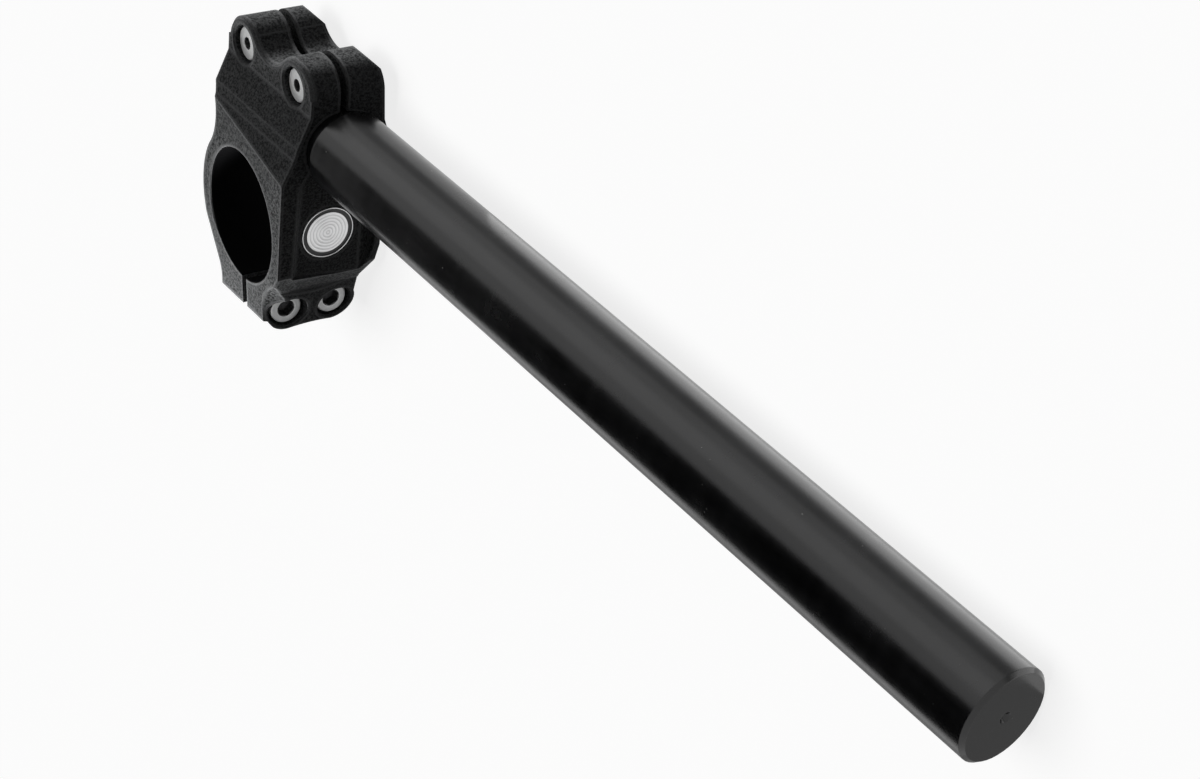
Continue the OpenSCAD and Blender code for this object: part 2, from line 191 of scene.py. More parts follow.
def hexagon_radius(angle, across):
    """Distance from the middle to a hexagon's side: across / 2 over the cosine from its normal."""
    turn = (angle + math.pi / 6) % (math.pi / 3) - math.pi / 6
    return across / 2 / np.cos(turn)


def socket_rings(head_h, across):
    """Floor: a growing share of hexagon(angle), with height = floor - dish * (1 - share).
    Wall: hexagon(angle). Mouth: from the hexagon to circles just past its corners."""
    hexa = hexagon_radius(SCREW_ANGLE, across)
    corner = across / math.sqrt(3)
    floor = head_h * (1 - SOCKET_DEPTH_SHARE)
    share = np.array(SOCKET_SHARES)[:, None]
    floor_rows = rings_round(hexa * share, floor - SOCKET_DISH * (1 - share))
    wall_rows = rings_round(hexa, np.array([[floor + WALL_FOOT], [head_h - LEAD_IN]]))
    cone_row = rings_round(np.maximum(hexa, corner * 0.985)[None], head_h - LEAD_IN * 0.35)
    mouth_rows = turned([(corner + LEAD_IN * 0.6, head_h), (corner + LEAD_IN * 0.9, head_h)])
    return np.concatenate([floor_rows, wall_rows, cone_row, mouth_rows])


# %% [markdown]
# ## The head
#
# The top edge of a real head is rounded and its side is knurled for the fingers. The knurl is a
# small sine taken off the radius, and it stops short of both edges, as a knurling wheel does.

# %% Head rows
HEAD_EDGE = 0.45 * MM
KNURL_RUN_OUT = 0.12 * MM
UNDERSIDE_BEVEL = 0.3 * MM
SHANK_ROOT = 0.02 * MM


def head_rings(head_r, head_h, shank_r):
    """A rounded edge, then the knurl: radius = head_r - depth * |sin(count * angle / 2)|, then the
    bevelled underside."""
    knurl_top, knurl_low = head_h - HEAD_EDGE * 1.4, HEAD_EDGE * 0.8
    edge = arc((head_r - HEAD_EDGE, head_h - HEAD_EDGE), HEAD_EDGE, 90, 12, 6)
    top_rows = turned([(head_r - HEAD_EDGE * 1.05, head_h), *edge, (head_r, knurl_top)])
    height = np.linspace(knurl_top - KNURL_RUN_OUT, knurl_low + KNURL_RUN_OUT, 6)[:, None]
    knurl_rows = rings_round(head_r - KNURL_DEPTH * np.abs(np.sin(KNURL_COUNT * SCREW_ANGLE / 2)), height)
    low_rows = turned([(head_r, knurl_low), (head_r - UNDERSIDE_BEVEL, 0), (shank_r + SHANK_ROOT, 0)])
    return np.concatenate([top_rows, knurl_rows, low_rows])


# %% [markdown]
# ## The thread
#
# A thread could be a profile swept along a helix, but its ends are hard to close. As a radius it
# is one formula: a triangle wave of the height, moved on by one pitch for each turn round the axis.

# %% Thread rows
ROWS_PER_PITCH = 10
THREAD_START = 0.6 * MM
TIP_SHARE = 1 / 4
FLANK_SLOPE = 1.35
CREST_CUT = 0.25


def thread_cut(height, angle):
    """A triangle wave of (height / pitch - angle / turn) with its crests and roots cut flat, times
    the depth of the thread."""
    wave = np.abs(((height / THREAD_PITCH - angle / (2 * math.pi)) % 1) * 2 - 1)
    return np.clip(wave * FLANK_SLOPE - CREST_CUT, 0, 1) * THREAD_DEPTH


def thread_rings(length, shank_r):
    """radius = shank_r - thread cut, which fades in over the first pitch, and at most what a
    45-degree cone leaves at the tip."""
    tip = shank_r * TIP_SHARE
    height = np.arange(-THREAD_START, -length, -THREAD_PITCH / ROWS_PER_PITCH)[:, None]
    fade = np.clip((-THREAD_START - height) / THREAD_PITCH, 0, 1)
    to_end = height + length
    cone = np.where(to_end > tip, shank_r, shank_r - tip + to_end)
    radius = np.minimum(shank_r - thread_cut(height, SCREW_ANGLE) * fade, cone)
    end_rows = turned([((shank_r - tip) * 0.9, -length), (shank_r * 0.05, -length)])
    return np.concatenate([rings_round(radius, height), end_rows])


def screw_rings(head_r, head_h, across, length, shank_r):
    """Rings of a cap screw along Z, with the underside of its head at 0."""
    return np.concatenate([socket_rings(head_h, across), head_rings(head_r, head_h, shank_r),
                           thread_rings(length, shank_r)])


# %% [markdown]
# ## Four screws in four holes
#
# Two low-head screws stand upright and close the bar block, and two taller ones lie along X
# and close the ring. The box of each node gives the length and the place. Each screw is turned
# by another angle, because real ones stop where they are tight.

# %% Put the four screws in their holes
SCREW_TURN = {"bar_screw_inboard": 20, "bar_screw_outboard": 8,
              "pinch_screw_upper": 14, "pinch_screw_lower": 35}
SCREW_SHANK_R = 3.0 * MM
LOW_HEAD_H, LOW_HEX = 4.0 * MM, 3.3 * MM
TALL_HEAD_H, TALL_HEX = 6.0 * MM, 5.0 * MM
SCREW_SHARP = math.radians(32)
screws = {}
socket_faces = {}
for name, turn in SCREW_TURN.items():
    low, high = (np.array(c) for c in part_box(name))
    upright = name.startswith("bar_")
    along = 2 if upright else 0
    head_h, across = (LOW_HEAD_H, LOW_HEX) if upright else (TALL_HEAD_H, TALL_HEX)
    head_r = (high[1] - low[1]) / 2
    length = high[along] - low[along] - head_h
    rings = screw_rings(head_r, head_h, across, length, SCREW_SHANK_R)
    points, faces = closed_grid(rings)
    a = math.radians(turn)
    points = points @ np.array([[math.cos(a), -math.sin(a), 0], [math.sin(a), math.cos(a), 0], [0, 0, 1]])
    centre = (low + high) / 2
    if not upright:
        points = points[:, [2, 0, 1]]
    centre[along] = high[along] - head_h
    piece = make_object(name + "_detailed", points + centre, faces)
    piece.data.set_sharp_from_angle(angle=SCREW_SHARP)
    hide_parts(name)
    # Faces of the socket: its rows, and the fan at its middle, which comes before the tip's fan.
    # These faces later get the second material, painted shade for the socket.
    in_socket = np.zeros(len(faces), np.int32)
    in_socket[:SOCKET_ROWS * SCREW_COLUMNS] = 1
    in_socket[-2 * SCREW_COLUMNS:-SCREW_COLUMNS] = 1
    socket_faces[name] = in_socket
    screws[name] = piece
    print(name, "length under the head in mm:", round(length / MM, 2), "faces:", len(faces))

# %% [markdown]
# ## Threads in the open ends of the tapped holes
#
# The tapped holes go right through the lower lip and the inboard ear, and the screws end just
# inside them. A thin sleeve with the form of the thread lines each open end, so that the plain
# bores of the CAD model stay as they are.

# %% Thread lining
LINING_R = 3.04 * MM
LINING_WALL = 0.03 * MM
LINING_GAP = 0.1 * MM
LIP_DEPTH = 1.2 * MM
EAR_DEPTH = 3.3 * MM


def lining_rings(depth):
    """Rings of a thin sleeve along Z, from 0 down to -depth: its inner radius is the outer one less
    the wall and the thread cut."""
    angle = np.linspace(0, 2 * math.pi, 96, endpoint=False)
    height = np.linspace(0, -depth, max(8, int(depth / THREAD_PITCH * ROWS_PER_PITCH)))
    inner = LINING_R - LINING_WALL - thread_cut(height[:, None], angle)
    radius = np.concatenate([inner, np.full((2, len(angle)), LINING_R)])
    height = np.concatenate([height, [-depth, 0]])
    return np.stack([radius * np.cos(angle), radius * np.sin(angle),
                     np.broadcast_to(height[:, None], radius.shape)], -1)


def sleeve(rings):
    """Points and faces of a closed ring-shaped skin: rows and columns both wrap round."""
    rows, cols = rings.shape[:2]
    i, j = np.meshgrid(np.arange(rows), np.arange(cols), indexing="ij")
    below, beside = (i + 1) % rows, (j + 1) % cols
    quads = np.stack([i * cols + j, i * cols + beside, below * cols + beside, below * cols + j], -1)
    return rings.reshape(-1, 3), quads.reshape(-1, 4).tolist()


linings = []
for name in SCREW_TURN:
    low, high = (np.array(c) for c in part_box(name))
    upright = name.startswith("bar_")
    along = 2 if upright else 0
    points, faces = sleeve(lining_rings(LIP_DEPTH if upright else EAR_DEPTH))
    if not upright:
        points = points[:, [2, 0, 1]]
    centre = (low + high) / 2
    centre[along] = low[along] - LINING_GAP
    piece = make_object(name.replace("screw", "thread"), points + centre, faces)
    linings.append(piece)
print("thread linings:", len(linings))

# %% [markdown]
# ## The plain badge
#
# The pocket holds a round metal badge. Here it is a plain satin silver disc: fine turned grooves
# run round it, a broad dark ring frames it, and a thin bright rim stands at its edge. The grooves
# could be a bump pattern alone, but real ones catch light at their edges. The disc is a turned
# profile, so one list of (radius, height) pairs, carried round the axis, makes it.

# %% The badge as a turned disc
badge_low, badge_high = (np.array(c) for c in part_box("badge"))
badge_r = (badge_high[1] - badge_low[1]) / 2
badge_t = badge_high[0] - badge_low[0]
GROOVE_PITCH = 1.05 * MM
GROOVE_DEPTH = 0.05 * MM
BADGE_RIM = 0.32 * MM
BADGE_RING = 1.25 * MM
BADGE_SHARP = math.radians(30)


def badge_profile():
    """(radius, height) pairs from the centre of the face out over the rim and back underneath.

    The face is height = face + depth * cos(2 pi radius / pitch), the dark ring lies lower,
    and the rim is a half round at full height.
    """
    face_r = badge_r - BADGE_RIM - BADGE_RING
    face = badge_t - 0.16 * MM
    r = np.linspace(0.05 * MM, face_r - 0.1 * MM, 150)
    disc = np.stack([r, face + GROOVE_DEPTH * np.cos(2 * math.pi * r / GROOVE_PITCH)], -1)
    ring_h = badge_t - 0.42 * MM
    step = np.array([[face_r, face - 0.06 * MM], [face_r + 0.02 * MM, ring_h + 0.04 * MM],
                     [face_r + 0.07 * MM, ring_h], [face_r + BADGE_RING - 0.06 * MM, ring_h],
                     [face_r + BADGE_RING - 0.01 * MM, ring_h + 0.05 * MM]])
    rim = arc((badge_r - BADGE_RIM / 2, badge_t - BADGE_RIM / 2), BADGE_RIM / 2, 180, 0, 9)
    back = np.array([[badge_r, 0.1 * MM], [badge_r - 0.1 * MM, 0], [0.05 * MM, 0]])
    return np.concatenate([disc, step, rim, back])


profile = badge_profile()
angle = np.linspace(0, 2 * math.pi, 192, endpoint=False)
radius, height = profile[:, 0][:, None], profile[:, 1][:, None]
rings = np.stack([np.broadcast_to(height, (len(profile), len(angle))),
                  radius * np.cos(angle), radius * np.sin(angle)], -1)
points, faces = closed_grid(rings)
badge_centre = np.array([badge_low[0], *((badge_low + badge_high) / 2)[1:]])
badge = make_object("badge_turned", points + badge_centre, faces)
badge.data.set_sharp_from_angle(angle=BADGE_SHARP)
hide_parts("badge")
print("badge radius and thickness in mm:", round(badge_r / MM, 2), round(badge_t / MM, 2))

# %% [markdown]
# ## Building blocks for the finishes
#
# The finishes are node materials. Each pattern reads Object coordinates, which for every piece
# here are metres in the frame of the part, so a pattern's size is a real size. The small class
# adds nodes and links by name, to keep each finish to a few lines.

# %% A helper for node materials
class Finish:
    """A material with one Principled shader, and short calls that add the nodes of its pattern."""

    def __init__(self, name, **values):
        self.material = bpy.data.materials.new(name)
        self.material.use_nodes = True
        self.tree = self.material.node_tree
        self.shader = self.tree.nodes["Principled BSDF"]
        for socket, value in values.items():
            self.shader.inputs[socket.replace("_", " ")].default_value = value
        self.place = self.add("ShaderNodeTexCoord").outputs["Object"]

    def add(self, kind, inputs=(), **settings):
        """A new node: settings are its properties, inputs pairs of socket and value or link."""
        node = self.tree.nodes.new(kind)
        for key, value in settings.items():
            setattr(node, key, value)
        for socket, value in dict(inputs).items():
            self.set(node.inputs[socket], value)
        return node

    def set(self, socket, value):
        """Links an output to the socket, or sets the socket's own value."""
        if isinstance(value, bpy.types.NodeSocket):
            self.tree.links.new(value, socket)
        else:
            socket.default_value = value

    def math(self, operation, *values):
        return self.add("ShaderNodeMath", dict(enumerate(values)), operation=operation).outputs[0]

    def across(self, vector, *axes):
        """Distance from the line along the axis that isn't named: the length of the two others."""
        parts = self.add("ShaderNodeSeparateXYZ", {"Vector": vector})
        flat = self.add("ShaderNodeCombineXYZ", {axis: parts.outputs[axis] for axis in axes})
        return self.add("ShaderNodeVectorMath", {0: flat.outputs[0]}, operation="LENGTH").outputs["Value"]

    def mapped(self, location=(0, 0, 0), rotation=(0, 0, 0), scale=(1, 1, 1)):
        """Object coordinates moved, then turned, then scaled."""
        moved = self.add("ShaderNodeVectorMath", {0: self.place, 1: location}, operation="SUBTRACT")
        rotated = self.add("ShaderNodeMapping", {"Vector": moved.outputs[0], "Rotation": rotation})
        return self.add("ShaderNodeMapping", {"Vector": rotated.outputs[0], "Scale": scale}).outputs[0]

    def noise(self, vector, scale, detail=2.0, roughness=0.5):
        return self.add("ShaderNodeTexNoise", {"Vector": vector, "Scale": scale, "Detail": detail,
                                               "Roughness": roughness}).outputs["Fac"]

    def spread(self, value, low, high, to_low, to_high):
        """A straight-line map of value from low..high to to_low..to_high, held at the ends."""
        return self.add("ShaderNodeMapRange", {"Value": value, "From Min": low, "From Max": high,
                                               "To Min": to_low, "To Max": to_high}).outputs["Result"]

    def mix(self, share, first, second):
        """A colour between two colours."""
        node = self.add("ShaderNodeMix", data_type="RGBA")
        self.set(node.inputs["Factor"], share)
        self.set(node.inputs[6], first)
        self.set(node.inputs[7], second)
        return node.outputs[2]

    def bumps(self, *layers, edge=0.0):
        """Bump nodes in a chain, one for each (height, distance), over edges rounded by edge metres."""
        normal = None
        if edge:
            normal = self.add("ShaderNodeBevel", {"Radius": edge}, samples=6).outputs["Normal"]
        for height, distance in layers:
            node = self.add("ShaderNodeBump", {"Height": height, "Distance": distance, "Strength": 1.0})
            if normal is not None:
                self.set(node.inputs["Normal"], normal)
            normal = node.outputs["Normal"]
        self.set(self.shader.inputs["Normal"], normal)

    def use(self, **values):
        """Links or sets inputs of the shader."""
        for socket, value in values.items():
            self.set(self.shader.inputs[socket.replace("_", " ")], value)
        return self.material


def dress(piece, material):
    """Gives a piece this material in every slot."""
    if not piece.data.materials:
        piece.data.materials.append(material)
    for slot in piece.material_slots:
        slot.material = material


# %% [markdown]
# ## Blasted and black anodised: the clamp
#
# The clamp is milled, blasted with fine beads and dyed black in the anodising bath. Up close its
# skin is a dark grey with a fine sparkle, where tiny craters catch the light. The fork bore is
# made darker and smoother. A mask finds it by its distance from the axis.
# A painted texture would need the mesh laid flat. Noise in the part's own coordinates doesn't, and
# its grain has the same size on every face.

# %% The clamp's finish
GRAIN_SCALE = 1400.0
EDGE_ROUND = 0.7 * MM
CREASE_REACH = 1.5 * MM
BORE_SKIN = 0.15 * MM


def blasted_black():
    """Noise at two sizes gives sparkle and slow clouding, and the fork bore, found by its distance
    from the Z axis, is smooth and dark. The Bevel node's rounded normal dot the face's own is 1 on a
    flat and less near an edge: a shallow crease gets a band of painted highlight there, and a sharp
    edge a fainter band, partly painted highlight and partly wear."""
    f = Finish("blasted_black", Metallic=0.0, IOR=1.5, Specular_IOR_Level=0.025)
    grain = f.noise(f.place, GRAIN_SCALE, detail=3.0, roughness=0.7)
    cloud = f.noise(f.place, 60.0, detail=3.0)
    bore = f.math("LESS_THAN", f.across(f.place, "X", "Y"), fork_r + BORE_SKIN)
    spark = f.spread(grain, 0.4, 0.6, 0.0, 1.0)
    base = f.mix(spark, (0.012, 0.0123, 0.0127, 1), (0.11, 0.112, 0.113, 1))
    clouded = f.mix(f.spread(cloud, 0.35, 0.65, 0.0, 0.25), base, (0.04, 0.041, 0.042, 1))
    round_normal = f.add("ShaderNodeBevel", {"Radius": CREASE_REACH}, samples=8).outputs["Normal"]
    own_normal = f.add("ShaderNodeNewGeometry").outputs["Normal"]
    facing = f.add("ShaderNodeVectorMath", {0: round_normal, 1: own_normal}, operation="DOT_PRODUCT")
    # Painted highlight: light grey bands along shallow creases, fainter along sharp edges, where they
    # also stand for wear.
    crease = f.spread(facing.outputs["Value"], 0.9999, 0.9982, 0.0, 0.75)
    sharp = f.spread(facing.outputs["Value"], 0.99, 0.96, 0.0, 0.4)
    edge = f.math("SUBTRACT", crease, sharp)
    highlight_and_wear = f.mix(edge, clouded, (0.17, 0.172, 0.175, 1))
    colour = f.mix(bore, highlight_and_wear, (0.006, 0.006, 0.0065, 1))
    rough = f.math("ADD", f.spread(grain, 0.3, 0.7, 0.5, 0.6), f.math("MULTIPLY", bore, -0.15))
    f.bumps((grain, 0.06 * MM), edge=EDGE_ROUND)
    return f.use(Base_Color=colour, Roughness=rough)


clamp_finish = blasted_black()
dress(nodes["clamp_body"], clamp_finish)
for piece in linings:
    dress(piece, clamp_finish)
print("finish:", clamp_finish.name)

# %% [markdown]
# ## Turned, satin black anodised: the bar
#
# The bar is turned and polished before it is dyed, so its skin is smooth, with very fine rings
# round it, a few pin-prick specks and slow changes in gloss. The pattern's coordinates are turned
# by the droop so that they run along the bar. The rings are noise in two numbers, the place along
# the bar and the distance from its axis, so they also circle the centre drilling on its ends.

# %% The bar's finish
def satin_black():
    """Fine noise in the ring coordinates gives turning marks, noise stretched along the bar a slow
    haze, and a Voronoi pattern, kept to a few patches by a third noise, the specks."""
    f = Finish("satin_black", Metallic=0.0, IOR=1.5)
    own = f.mapped(location=tuple(bar_centre), rotation=(0, -droop, 0))
    parts = f.add("ShaderNodeSeparateXYZ", {"Vector": own})
    along = parts.outputs["X"]
    ring_place = f.add("ShaderNodeCombineXYZ", {"X": along, "Y": f.across(own, "Y", "Z")}).outputs[0]
    rings = f.noise(ring_place, 5200.0, detail=2.0)
    bands = f.noise(ring_place, 300.0, detail=3.0)
    stretched = f.add("ShaderNodeMapping", {"Vector": own, "Scale": (0.25, 1, 1)}).outputs[0]
    haze = f.noise(stretched, 160.0, detail=4.0)
    fine = f.noise(own, 3800.0, detail=2.0)
    specks = f.add("ShaderNodeTexVoronoi", {"Vector": own, "Scale": 420.0}).outputs["Distance"]
    speck = f.spread(specks, 0.035, 0.075, 1.0, 0.0)
    rare = f.spread(f.noise(own, 90.0, detail=1.0), 0.6, 0.66, 0.0, 1.0)
    dots = f.math("MULTIPLY", speck, rare)
    hazy = f.spread(haze, 0.35, 0.65, 0.0, 1.0)
    tone = f.mix(hazy, (0.003, 0.003, 0.0033, 1), (0.007, 0.0071, 0.0075, 1))
    colour = f.mix(dots, tone, (0.22, 0.22, 0.21, 1))
    rough = f.math("ADD", f.spread(haze, 0.3, 0.7, 0.2, 0.27), f.spread(bands, 0.3, 0.7, -0.02, 0.03))
    f.bumps((rings, 0.006 * MM), (fine, 0.012 * MM), (dots, 0.02 * MM), edge=0.3 * MM)
    return f.use(Base_Color=colour, Roughness=rough)


bar_finish = satin_black()
dress(nodes["bar"], bar_finish)
print("finish:", bar_finish.name)

# %% [markdown]
# ## Bright plated screws and the silver badge
#
# The screws are steel with a bright zinc coat: light grey, with faint clouding and fine marks. A
# fully metallic shader would only mirror its surroundings and go dark with them, so it is partly
# metallic. Inside the socket a second material, set face by face, is dark: painted shade for the hollow.
# The badge is turned to a satin shine and its sunk ring is dyed dark. That ring is found by its
# distance from the badge's own centre.

# %% Finishes for the screws and the badge
def plated_steel():
    """Noise clouds the plating's roughness and tint."""
    f = Finish("plated_steel", Metallic=0.35)
    cloud = f.noise(f.place, 700.0, detail=4.0)
    fine = f.noise(f.place, 5000.0, detail=2.0)
    colour = f.mix(f.spread(cloud, 0.3, 0.7, 0.0, 1.0), (0.8, 0.81, 0.82, 1), (0.92, 0.92, 0.91, 1))
    f.bumps((fine, 0.006 * MM), (cloud, 0.01 * MM), edge=0.12 * MM)
    return f.use(Base_Color=colour, Roughness=f.spread(cloud, 0.3, 0.7, 0.42, 0.55))


def painted_socket_shade():
    """Painted shade inside the hexagon: a darker, duller metal with soft clouds."""
    f = Finish("painted_socket_shade", Metallic=0.9)
    cloud = f.noise(f.place, 1500.0, detail=3.0)
    dull = f.spread(cloud, 0.3, 0.7, 0.0, 1.0)
    colour = f.mix(dull, (0.035, 0.035, 0.036, 1), (0.11, 0.11, 0.112, 1))
    f.bumps((cloud, 0.02 * MM))
    return f.use(Base_Color=colour, Roughness=f.spread(cloud, 0.3, 0.7, 0.4, 0.6))


def turned_silver():
    """Rings by distance from the badge's centre: a cosine paints a little shade into the grooves,
    and the sunk ring is dark and not metallic."""
    f = Finish("turned_silver")
    own = f.mapped(location=tuple(badge_centre))
    away = f.across(own, "Y", "Z")
    inside = f.math("GREATER_THAN", away, badge_r - BADGE_RIM - BADGE_RING)
    outside = f.math("LESS_THAN", away, badge_r - BADGE_RIM)
    dark = f.math("MULTIPLY", inside, outside)
    ring_noise = f.noise(f.add("ShaderNodeCombineXYZ", {"X": away}).outputs[0], 9000.0, detail=2.0)
    cloud = f.noise(own, 800.0, detail=3.0)
    silver = f.mix(f.spread(cloud, 0.3, 0.7, 0.0, 1.0), (0.68, 0.68, 0.685, 1), (0.74, 0.74, 0.745, 1))
    # Painted shade: the groove bottoms are darkened a little toward a mid grey.
    wave = f.math("COSINE", f.math("MULTIPLY", away, 2 * math.pi / GROOVE_PITCH))
    groove_shaded = f.mix(f.spread(wave, -1.0, 0.1, 0.5, 0.0), silver, (0.3, 0.3, 0.305, 1))
    colour = f.mix(dark, groove_shaded, (0.012, 0.012, 0.013, 1))
    rough = f.math("ADD", f.spread(cloud, 0.3, 0.7, 0.3, 0.4), f.math("MULTIPLY", dark, 0.1))
    f.bumps((ring_noise, 0.008 * MM), edge=0.08 * MM)
    metal = f.math("SUBTRACT", 1.0, dark)
    return f.use(Base_Color=colour, Roughness=rough, Metallic=metal)


screw_finish = plated_steel()
socket_shade_finish = painted_socket_shade()
for name, piece in screws.items():
    dress(piece, screw_finish)
    # The socket's faces get painted shade, a darker metal.
    piece.data.materials.append(socket_shade_finish)
    piece.data.polygons.foreach_set("material_index", socket_faces[name])
badge_finish = turned_silver()
dress(badge, badge_finish)
print("finishes:", screw_finish.name, socket_shade_finish.name, badge_finish.name)

# %% [markdown]
# ## Floor and surroundings
#
# The part lies on plain white paper, on the lower edge of its ring and the outer end of its bar.
# White paper under enough light would also wash light over the black part. So most of its white
# is a glow that only the camera and reflections see, and the rest is lit, which shows the soft
# shadow.

# %% The floor under the ring and the bar's end
FLOOR_PALE = 0.3
FLOOR_GLOW = 0.81


def white_paper():
    """Diffuse white, plus a glow that only camera, glossy and transmission rays see."""
    material = bpy.data.materials.new("white_paper")
    material.use_nodes = True
    tree = material.node_tree
    tree.nodes.clear()
    diffuse = tree.nodes.new("ShaderNodeBsdfDiffuse")
    diffuse.inputs["Color"].default_value = (FLOOR_PALE, FLOOR_PALE, FLOOR_PALE, 1)
    glow = tree.nodes.new("ShaderNodeEmission")
    path = tree.nodes.new("ShaderNodeLightPath")
    seen = seen_rays(tree, path)
    level = tree.nodes.new("ShaderNodeMath")
    level.operation = "MULTIPLY"
    level.inputs[1].default_value = FLOOR_GLOW
    tree.links.new(seen, level.inputs[0])
    tree.links.new(level.outputs[0], glow.inputs["Strength"])
    both = tree.nodes.new("ShaderNodeAddShader")
    tree.links.new(diffuse.outputs[0], both.inputs[0])
    tree.links.new(glow.outputs[0], both.inputs[1])
    out = tree.nodes.new("ShaderNodeOutputMaterial")
    tree.links.new(both.outputs[0], out.inputs["Surface"])
    return material


def seen_rays(tree, path):
    """1 for camera, glossy and transmission rays, and 0 for the rest."""
    total = path.outputs["Is Camera Ray"]
    for name in ("Is Glossy Ray", "Is Transmission Ray"):
        node = tree.nodes.new("ShaderNodeMath")
        node.operation = "MAXIMUM"
        tree.links.new(total, node.inputs[0])
        tree.links.new(path.outputs[name], node.inputs[1])
        total = node.outputs[0]
    return total


ring_low = np.array([body_low[0], 0.0, body_low[2]])
bar_low, bar_high = (np.array(c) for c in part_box("bar"))
# The lower rim of the bar's outer end, where the box gives the upper one.
bar_end = np.array([bar_high[0] - 2 * bar_r * math.sin(droop), 0.0, bar_low[2]])
floor_tilt = math.atan2(ring_low[2] - bar_end[2], bar_end[0] - ring_low[0])
FLOOR_HALF = 3.0
FLOOR_GAP = 0.05 * MM
floor_mesh = bpy.data.meshes.new("floor")
corners = [(-FLOOR_HALF, -FLOOR_HALF, 0), (FLOOR_HALF, -FLOOR_HALF, 0),
           (FLOOR_HALF, FLOOR_HALF, 0), (-FLOOR_HALF, FLOOR_HALF, 0)]
floor_mesh.from_pydata(corners, [], [(0, 1, 2, 3)])
floor = bpy.data.objects.new("floor", floor_mesh)
bpy.context.scene.collection.objects.link(floor)
floor.rotation_euler = (0, floor_tilt, 0)
floor.location = tuple(ring_low - np.array([0, 0, FLOOR_GAP]))
floor_mesh.materials.append(white_paper())
print("floor tilt in degrees:", round(math.degrees(floor_tilt), 2))

# %% [markdown]
# ## The world
#
# The world is white where the camera, glass or metal sees it, and dim as a light, so that slits
# and pockets stay dark.

# %% The world
WORLD_LEVEL = 0.055
world = bpy.data.worlds.new("studio")
bpy.context.scene.world = world
world.use_nodes = True
tree = world.node_tree
background = tree.nodes["Background"]
seen = seen_rays(tree, tree.nodes.new("ShaderNodeLightPath"))
level = tree.nodes.new("ShaderNodeMapRange")
level.inputs["To Min"].default_value = WORLD_LEVEL
level.inputs["To Max"].default_value = 1.0
tree.links.new(seen, level.inputs["Value"])
tree.links.new(level.outputs[0], background.inputs["Strength"])
background.inputs["Color"].default_value = (1, 1, 1, 1)
print("world level for light:", WORLD_LEVEL)

# %% [markdown]
# ## Lamps
#
# The clamp is lit by a small lamp low behind the fork ring. Its light grazes the ring's top and
# misses the facets, which lean the other way, so they stay dark. A sun from the inboard side, a
# touch below the horizon as light from a table comes, draws streaks on the upright round bosses
# and misses everything that faces up. A weak wide sun from above fills the rest, and another
# one lights only the paper, for a soft shadow without hard edges. Light linking keeps each lamp
# to its own pieces, which no placing of the lamps could do.

# %% Lamps
RING_TOP = np.array([0.0, 0.0, half_height])
LOW_LAMP_PLACE = (-0.03, -0.15, 0.07)
SIDE_SUN_WAY = (-0.80, 0.57, -0.20)
TOP_SUN_WAY = (-0.5, 0.3, 0.8)
PAPER_SUN_WAY = (-0.15, 0.25, 0.95)


def wide_sun(name, direction, level, angle):
    """A sun that shines from this direction. A white face square to it renders at this level."""
    data = bpy.data.lights.new(name, "SUN")
    data.energy = level * math.pi
    data.angle = math.radians(angle)
    lamp = bpy.data.objects.new(name, data)
    bpy.context.scene.collection.objects.link(lamp)
    lamp.rotation_euler = Vector(direction).to_track_quat("Z", "Y").to_euler()
    print(name, "level", level)
    return lamp


def soft_lamp(name, place, target, size, level):
    """A square lamp at place. A white face square to it at the target renders at this level:
    power = level * pi * pi * distance squared."""
    data = bpy.data.lights.new(name, "AREA")
    data.size = size
    away = Vector(place) - Vector(target)
    data.energy = level * math.pi * math.pi * away.length_squared
    lamp = bpy.data.objects.new(name, data)
    bpy.context.scene.collection.objects.link(lamp)
    lamp.location = tuple(place)
    lamp.rotation_euler = away.to_track_quat("Z", "Y").to_euler()
    lamp.visible_camera = False
    print(name, "level", level, "at", round(away.length / MM), "mm")
    return lamp


def light_only(lamp, pieces):
    """Light linking: the lamp reaches these pieces and no others. Gives back their group."""
    group = bpy.data.collections.new(lamp.name + "_lights")
    for piece in pieces:
        group.objects.link(piece)
    lamp.light_linking.receiver_collection = group
    return group


part_pieces = [nodes["clamp_body"], nodes["bar"], *screws.values(), badge, *linings]
low_lamp = soft_lamp("low_lamp", LOW_LAMP_PLACE, RING_TOP, size=0.06, level=3.2)
side_sun = wide_sun("side_sun", SIDE_SUN_WAY, level=1.6, angle=14)
top_sun = wide_sun("top_sun", TOP_SUN_WAY, level=0.24, angle=60)
for lamp in (low_lamp, side_sun, top_sun):
    lamp.visible_glossy = False
    group = light_only(lamp, part_pieces)
    lamp.light_linking.blocker_collection = group
paper_sun = wide_sun("paper_sun", PAPER_SUN_WAY, level=0.5, angle=50)
light_only(paper_sun, [floor])
print("pieces under the lamps:", len(part_pieces))

# %% [markdown]
# ## A dark screen
#
# The bar goes black on its lower side, as it would beside a dark screen in a studio. Darkening
# its colour can't do that, because the black dye is dark already and what shows is the mirrored
# room. The mirror rule places the screen: a direction shows where the surface faces halfway between
# that direction and the camera.

# %% The dark screen
SHEET_AWAY = 1.2
SCREEN_ROUND = (-74, 20)
SCREEN_LEAN = (41, 98)


def screen_grid(turns, leans, rows, cols):
    """Points on a sphere round the part, at radius SHEET_AWAY: cos(lean) of the way against the bar
    plus sin(lean) of a direction that turns round the bar, from +Z toward +Y."""
    turn, lean = np.meshgrid(np.radians(np.linspace(*turns, rows)),
                             np.radians(np.linspace(*leans, cols)), indexing="ij")
    up = np.cross(bar_dir, (0, 1, 0))
    side = (np.cos(turn)[..., None] * up + np.sin(turn)[..., None] * np.array((0, 1.0, 0)))
    place = np.sin(lean)[..., None] * side - np.cos(lean)[..., None] * bar_dir
    return place * SHEET_AWAY


